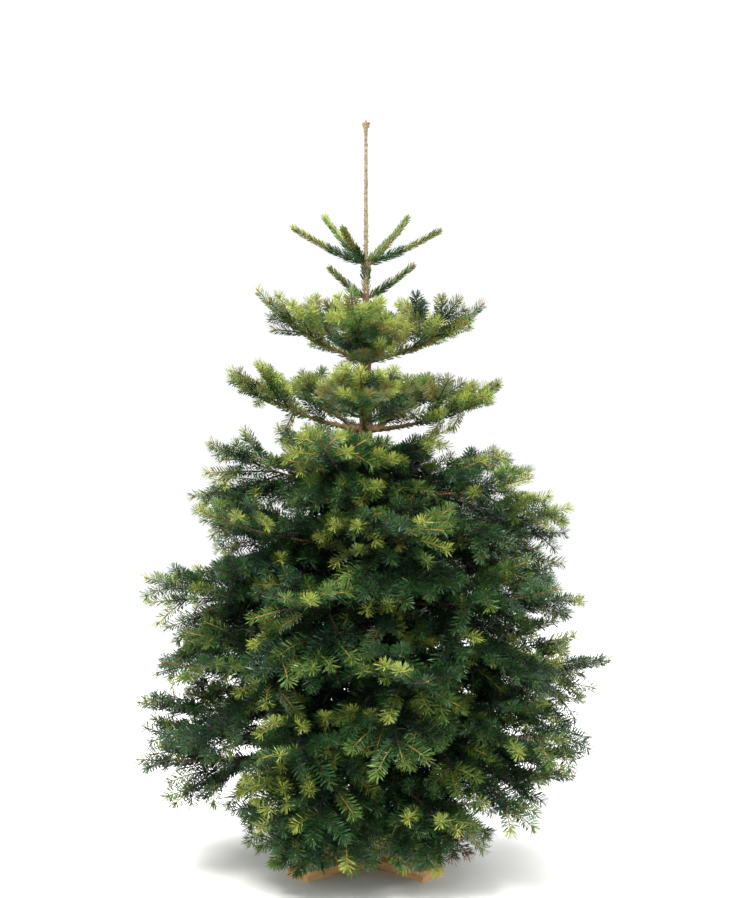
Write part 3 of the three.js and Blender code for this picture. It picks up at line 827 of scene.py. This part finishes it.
def grow_trunk_shoots():
    """The shoots from the trunk, which close the view through the crown."""
    rng = np.random.default_rng(11)
    lowest, highest = SHOOT_RANGE
    heights, lengths, rises = zip(*SHOOT_COURSE)
    for i in range(SHOOT_COUNT):
        height = lowest + (highest - lowest) * ((i + 0.5) / SHOOT_COUNT)
        hidden = height <= OPEN_SHOOTS
        zone = "body" if hidden else "upper"
        azimuth = GOLDEN_ANGLE * i + 0.4 * rng.random()
        tilt = radians(np.interp(height, heights, rises) + 14 * (rng.random() - 0.5))
        out = heading(azimuth)
        direction = out * math.cos(tilt) + UP * math.sin(tilt)
        up = UP * math.cos(tilt) - out * math.sin(tilt)
        length = np.interp(height, heights, lengths) * (0.8 + 0.35 * rng.random())
        twig = Twig(trunk_centre(height)[0], direction, up, length, DOWN * 0.05 * length, (2.6, 1.2))
        if fits(twig) and not SHOOT_GAP[0] < height < SHOOT_GAP[1]:
            dress(twig, zone, rng, start=0.2, outer=not hidden, hidden=hidden)
            if length > 120:
                branch_out(twig, zone, rng, TRUNK_TILTS, outer=False, hidden=True)


OPEN_FROM = 1100  # height from where the trunk's own twigs belong to the open tiers

boughs = [grow_bough(index, k) for index, tier in enumerate(TIERS) for k in range(len(tier["azimuths"]))]
grow_trunk_shoots()
trunk_random = np.random.default_rng(5)
for height, *tip in TRUNK_TWIGS:
    grow_own(trunk_centre(height)[0], tip, "upper" if height > OPEN_FROM else "shoulder", trunk_random)


# ---- Materials ----
def principled(name, colour, roughness, specular=0.5):
    material = bpy.data.materials.new(name)
    material.use_nodes = True
    shader = material.node_tree.nodes["Principled BSDF"]
    shader.inputs["Base Color"].default_value = colour
    shader.inputs["Roughness"].default_value = roughness
    shader.inputs["Specular IOR Level"].default_value = specular
    return material, material.node_tree, shader


STOPS = (0.3, 0.5, 0.7)  # where a pattern's dark, middle and light colour lie


def mottled(name, colours, scale, stretch, roughness, bump, depth=0.0006):
    """A natural surface whose colour runs over a noise pattern, with bumps from the same pattern."""
    dark, middle, light = [srgb(*colour) for colour in colours]
    material, tree, shader = principled(name, dark, roughness, 0.3)
    place, mapping, noise, ramp, relief = [
        tree.nodes.new("ShaderNode" + kind)
        for kind in ("TexCoord", "Mapping", "TexNoise", "ValToRGB", "Bump")
    ]
    for node, key, value in (
        (mapping, "Scale", stretch), (noise, "Scale", scale), (noise, "Detail", 6),
        (noise, "Roughness", 0.62), (relief, "Strength", bump), (relief, "Distance", depth),
    ):
        node.inputs[key].default_value = value
    first, last = ramp.color_ramp.elements
    first.position, first.color = STOPS[0], dark
    last.position, last.color = STOPS[2], light
    ramp.color_ramp.elements.new(STOPS[1]).color = middle
    for source, output, target, key in (
        (place, "Object", mapping, "Vector"), (mapping, "Vector", noise, "Vector"),
        (noise, "Fac", ramp, "Fac"), (ramp, "Color", shader, "Base Color"),
        (noise, "Fac", relief, "Height"), (relief, "Normal", shader, "Normal"),
    ):
        tree.links.new(source.outputs[output], target.inputs[key])
    return material


# Three colours from dark to light, the pattern's scale and stretch, roughness, the bumps' strength and depth.
EVEN = (1, 1, 1)
SURFACES = {
    "trunk_bark": ([(58, 44, 34), (100, 76, 56), (138, 112, 86)], 90, (1, 1, 0.45), 0.9, 0.7, 0.0012),
    "bough_bark": ([(72, 50, 34), (112, 80, 54), (142, 108, 76)], 150, EVEN, 0.85, 0.5),
    "leader_bark": ([(84, 74, 54), (120, 108, 82), (156, 144, 116)], 160, EVEN, 0.8, 0.5),
    # The old twigs' bark is darker than grey-brown bark: partly its own colour, partly painted shade for the
    # inside of the crown.
    "old_twig_shaded": ([(36, 31, 20), (54, 45, 29), (76, 63, 42)], 120, EVEN, 0.85, 0.4),
    "young_twig": ([(138, 110, 52), (168, 138, 68), (192, 164, 92)], 120, EVEN, 0.75, 0.3),
    "bud_scale": ([(122, 86, 42), (154, 112, 56), (180, 140, 82)], 260, EVEN, 0.55, 0.4, 0.0003),
    "stand_pine": ([(176, 132, 84), (208, 168, 116), (226, 192, 144)], 30, (0.35, 4, 4), 0.7, 0.25, 0.0004),
}
surfaces = {name: mottled(name, *look) for name, look in SURFACES.items()}


# ---- Wood pieces ----
TRUNK_STEP, TRUNK_SIDES, TRUNK_END, SWELLING = 5.0, 40, 1362, 0.12
BOUGH_STEP, BOUGH_SIDES, THINNEST, COLLAR, KNOT, KNOTS = 9, 8, 1.3, 0.5, 0.1, 118  # a knot every 118 mm


def taper_at(z):
    heights, radii = zip(*TRUNK_TAPER)
    return np.interp(z, heights, radii)


def upright(z):
    """The middle of the trunk at heights, with its two axes there."""
    return trunk_centre(z), np.tile([1.0, 0, 0], (len(z), 1)), np.tile([0, 1.0, 0], (len(z), 1))


def bark_relief(z, radii, sides, seed):
    """Height of the bark against the trunk's radius: long plates with cracks between, grain and waves."""
    angle = 2 * np.pi * np.arange(sides) / sides
    around = radii[:, None] * np.stack([np.cos(angle), np.sin(angle)], 0)[:, None, :]
    spot = np.stack([around[0], around[1], np.repeat(z[:, None], sides, 1)], 2).reshape(-1, 3)
    plates = lattice_noise(spot * [1, 1, 0.4], 7, seed)
    grain = lattice_noise(spot * [1, 1, 0.7], 2.6, seed + 1)
    waves = lattice_noise(spot * [1, 1, 0.3], 40, seed + 2)
    cracks = np.minimum(np.abs(plates - 0.5) * 5, 1)
    height = 0.055 * cracks + 0.03 * (grain - 0.5) + 0.05 * (waves - 0.5)
    return height.reshape(len(z), sides) * radii[:, None]


def trunk_piece():
    """The trunk up to its leader, with a swelling where each tier leaves."""
    z = np.arange(TRUNK_TAPER[0][0], TRUNK_END, TRUNK_STEP)
    radii = taper_at(z)
    for tier in TIERS:
        radii = radii * (1 + SWELLING * np.exp(-((z - tier["height"]) / (6 + 1.2 * tier["stem"])) ** 2))
    trunk = tube(*upright(z), radii, TRUNK_SIDES, bark_relief(z, radii, TRUNK_SIDES, 3))
    return make_piece("trunk_bark", *trunk, surfaces["trunk_bark"], "bark")


def bough_piece():
    """The boughs' wood, with a collar at the trunk, knots and the bark's relief."""
    store = Store()
    angle = 2 * np.pi * np.arange(BOUGH_SIDES) / BOUGH_SIDES
    for bough in boughs:
        u = np.append(np.arange(0, 1, BOUGH_STEP / bough.length), 1.0)
        s = u * bough.length
        _, side, up = bough.frames(u)
        out_of_trunk = np.maximum(s - taper_at(bough.tier["height"]), 0)
        radii = np.maximum(bough.radius(u), THINNEST) * (1 + COLLAR * np.exp(-out_of_trunk / 14))
        radii = radii * (1 + KNOT * np.exp(-((s % KNOTS) - KNOTS / 2) ** 2 / 30))
        run = np.repeat(s[:, None], BOUGH_SIDES, 1) * 0.5
        spot = np.stack([run, radii[:, None] * np.cos(angle), radii[:, None] * np.sin(angle)], 2)
        noise = lattice_noise(spot.reshape(-1, 3), 3.5, bough.seed).reshape(len(u), BOUGH_SIDES)
        relief = 0.16 * (noise - 0.5) * radii[:, None]
        store.add(*tube(bough.centre(u), side, up, radii, BOUGH_SIDES, relief))
    return make_piece("bough_bark", *store.arrays(), surfaces["bough_bark"], "bark")


# Needles pressed to the young trunk and to the leader: foot, length and radii of each, and of its stretches
# where they start and end as shares, the two tints, size and density.
LEADER_END = TREE_TOP - 14
PRESSED = [
    (1350, 76, (13, 11.4), [(0.0, 0.5, "olive", "grey", 0.7, 0.8), (0.5, 1.0, "mid", "olive", 1.0, 1.8)]),
    (1440, LEADER_END - 1440, (4.6, 3.2),
     [(0.0, 0.3, "gold", "grey", 0.6, 0.5), (0.3, 0.97, "gold", "grey", 0.36, 0.3)]),
]
LEADER_FOOT, LEADER_STEP, LEADER_SIDES = 1357, 2.5, 10


def bud_beside(place, angle, away, rise, length, width):
    """A bud that leaves a place on the leader at an angle round it."""
    aside = heading(angle)
    buds.append((place + aside * away, unit(aside + [0, 0, rise]), length, width))


def leader_piece():
    """The long top shoot with its leaf scars, its pressed needles and the buds at its end."""
    rng = np.random.default_rng(7)
    z = np.arange(LEADER_FOOT, TREE_TOP - 9, LEADER_STEP)
    radii = taper_at(z) * (1 + 0.22 * (rng.random(len(z)) - 0.4))
    scars = radii[:, None] * 0.5 * np.maximum(rng.random((len(z), LEADER_SIDES)) - 0.72, 0) * 3
    make_piece("leader", *tube(*upright(z), radii, LEADER_SIDES, scars), surfaces["leader_bark"], "bark")
    for foot, length, ends, stretches in PRESSED:
        shoot = Twig(trunk_centre(foot)[0], UP, np.array([0, 1.0, 0]), length, np.zeros(3), ends)
        for u0, u1, side_tint, lit_top_tint, size, density in stretches:
            add_needles(shoot, u0, u1, side_tint, lit_top_tint, rng, "pressed", size, density)
    top = trunk_centre(LEADER_END)[0]
    buds.append((top, UP, 14, 7))
    for i in range(5):  # round the top bud
        bud_beside(top - [0, 0, 6], 2 * np.pi * i / 5 + 0.3, 2, 0.9, 10, 6)
    for i in range(9):  # along the shoot
        bud_beside(trunk_centre(1480 + 29 * i + 8 * rng.random())[0], 2.4 * i, 3, 1.2, 5.5, 3.6)


def nodes_called(start):
    return [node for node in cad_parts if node.startswith(start)]


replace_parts(trunk_piece(), "trunk")
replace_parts(bough_piece(), *nodes_called("bough_"))
leader_piece()

# ---- Foliage pieces ----
LIMIT = 190000  # triangles in a piece
for (tint, fine), row_list in needle_rows.items():
    if not row_list:
        continue
    colour, slot = TINTS[tint]
    rows = np.concatenate(row_list)
    name = f"needles_{tint}" if fine else f"inner_{tint}"
    material, _, _ = principled(name, colour, 0.42)
    parts = math.ceil((3 if fine else 2) * len(rows) / LIMIT)
    for i, chunk in enumerate(np.array_split(rows, parts)):
        points, faces = needle_mesh(chunk, fine)
        piece = make_piece(f"{name}_{i + 1}", points, faces, material, slot)
        if tint == "deep" and i == 0 and not fine:
            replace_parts(piece, *nodes_called("foliage_"))
make_piece("twigs_old", *old_wood.arrays(), surfaces["old_twig_shaded"], "bark")
make_piece("twigs_young", *young_wood.arrays(), surfaces["young_twig"], "bark")
make_piece("buds", *bud_mesh(), surfaces["bud_scale"], "bark")


# ---- Stand ----
ARRIS = 1.4  # how far the boards' edges are eased
BRACE_INSIDE = 27  # from the trunk's middle line to where a brace begins


def board_piece(name, node, outline, width, turn):
    """A sawn board: its outline drawn in X and Z, its arrises eased."""
    built = bmesh.new()
    front = [built.verts.new((x * MM, -width / 2 * MM, z * MM)) for x, z in outline]
    face = built.faces.new(front)
    moved = bmesh.ops.extrude_face_region(built, geom=[face])["geom"]
    far = [v for v in moved if isinstance(v, bmesh.types.BMVert)]
    bmesh.ops.translate(built, verts=far, vec=(0, width * MM, 0))
    bmesh.ops.recalc_face_normals(built, faces=built.faces)
    mesh = bpy.data.meshes.new(name)
    built.to_mesh(mesh)
    built.free()
    mesh.materials.append(surfaces["stand_pine"])
    piece = bpy.data.objects.new(name, mesh)
    bpy.context.scene.collection.objects.link(piece)
    piece.rotation_euler = (0, 0, turn)
    ease = piece.modifiers.new("eased", "BEVEL")
    ease.width = ARRIS * MM
    ease.segments = 2
    ease.limit_method = "ANGLE"
    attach(piece, "root")
    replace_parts(piece, node)
    return piece


def board_outline(notched_above):
    """A stand board from the side, with its half of the lap joint cut from above or from below."""
    end, thick, bevel = BOARD["length"] / 2, BOARD["thickness"], BOARD["bevel"]
    lap, half = BOARD["width"] / 2 + GAP, thick / 2
    right = [(end, thick - bevel), (end - bevel, thick)]
    left = [(bevel - end, thick), (-end, thick - bevel)]
    above = [(lap, thick), (lap, half - GAP / 2), (-lap, half - GAP / 2), (-lap, thick)]
    below = [(-lap, 0), (-lap, half + GAP / 2), (lap, half + GAP / 2), (lap, 0)]
    if notched_above:
        return [(-end, 0), (end, 0), *right, *above, *left]
    return [(-end, 0), *below, (end, 0), *right, *left]


turn, quarter = radians(STAND_TURN), math.pi / 2
board_piece("stand_lower", "stand_board_lower", board_outline(True), BOARD["width"], turn)
board_piece("stand_upper", "stand_board_upper", board_outline(False), BOARD["width"], turn + quarter)
board_top = BOARD["thickness"] + GAP
brace_outline = [
    (BRACE_INSIDE, board_top), (BRACE["reach"], board_top), (BRACE["reach"], board_top + BRACE["lip"]),
    (BRACE["top"], board_top + BRACE["height"]), (BRACE_INSIDE, board_top + BRACE["height"]),
]
for k in range(BRACES):
    board_piece(f"brace_{k + 1}", f"stand_brace_{k + 1}", brace_outline, BRACE["width"], turn + k * quarter)

# ---- Floor, light and camera ----
FLOOR = 12  # metres from its middle to its edges
WORLD_LIGHT = 1.04
AIM = (0, 0, 0.8)  # where the softboxes point
# Each softbox: its place, its size, its power and its colour.
SOFTBOXES = {
    "key": ((-1.4, -2.2, 4.4), 2.6, 350, (1.0, 0.98, 0.93)),
    "fill": ((2.8, -2.4, 2.6), 2.2, 80, (1.0, 0.99, 0.97)),
    "back": ((0.8, 3.0, 3.4), 2.4, 150, (1.0, 0.99, 0.97)),
}

scene = bpy.context.scene
floor_mesh = bpy.data.meshes.new("floor")
corners = [(-FLOOR, -FLOOR, 0), (FLOOR, -FLOOR, 0), (FLOOR, FLOOR, 0), (-FLOOR, FLOOR, 0)]
floor_mesh.from_pydata(corners, [], [(0, 1, 2, 3)])
floor_material, _, _ = principled("floor_pale", (0.96, 0.96, 0.955, 1), 0.9, 0.2)
floor_mesh.materials.append(floor_material)
floor = bpy.data.objects.new("floor", floor_mesh)
scene.collection.objects.link(floor)

world = bpy.data.worlds.new("studio")
scene.world = world
world.use_nodes = True
world.node_tree.nodes["Background"].inputs["Color"].default_value = (1, 1, 1, 1)
world.node_tree.nodes["Background"].inputs["Strength"].default_value = WORLD_LIGHT

for name, (place, size, power, colour) in SOFTBOXES.items():
    data = bpy.data.lights.new(name, "AREA")
    data.shape = "DISK"
    data.size, data.energy, data.color = size, power, colour
    lamp = bpy.data.objects.new(name, data)
    scene.collection.objects.link(lamp)
    lamp.location = place
    lamp.rotation_euler = (Vector(AIM) - Vector(place)).to_track_quat("-Z", "Y").to_euler()

camera_data = bpy.data.cameras.new("camera")
camera_data.sensor_width = 36
camera_data.lens = 58.45
camera = bpy.data.objects.new("camera", camera_data)
scene.collection.objects.link(camera)
camera.location = (0.017, -3.5, 0.987)
camera.rotation_euler = (math.pi / 2, 0, 0)
scene.camera = camera
scene.view_settings.view_transform = "Standard"
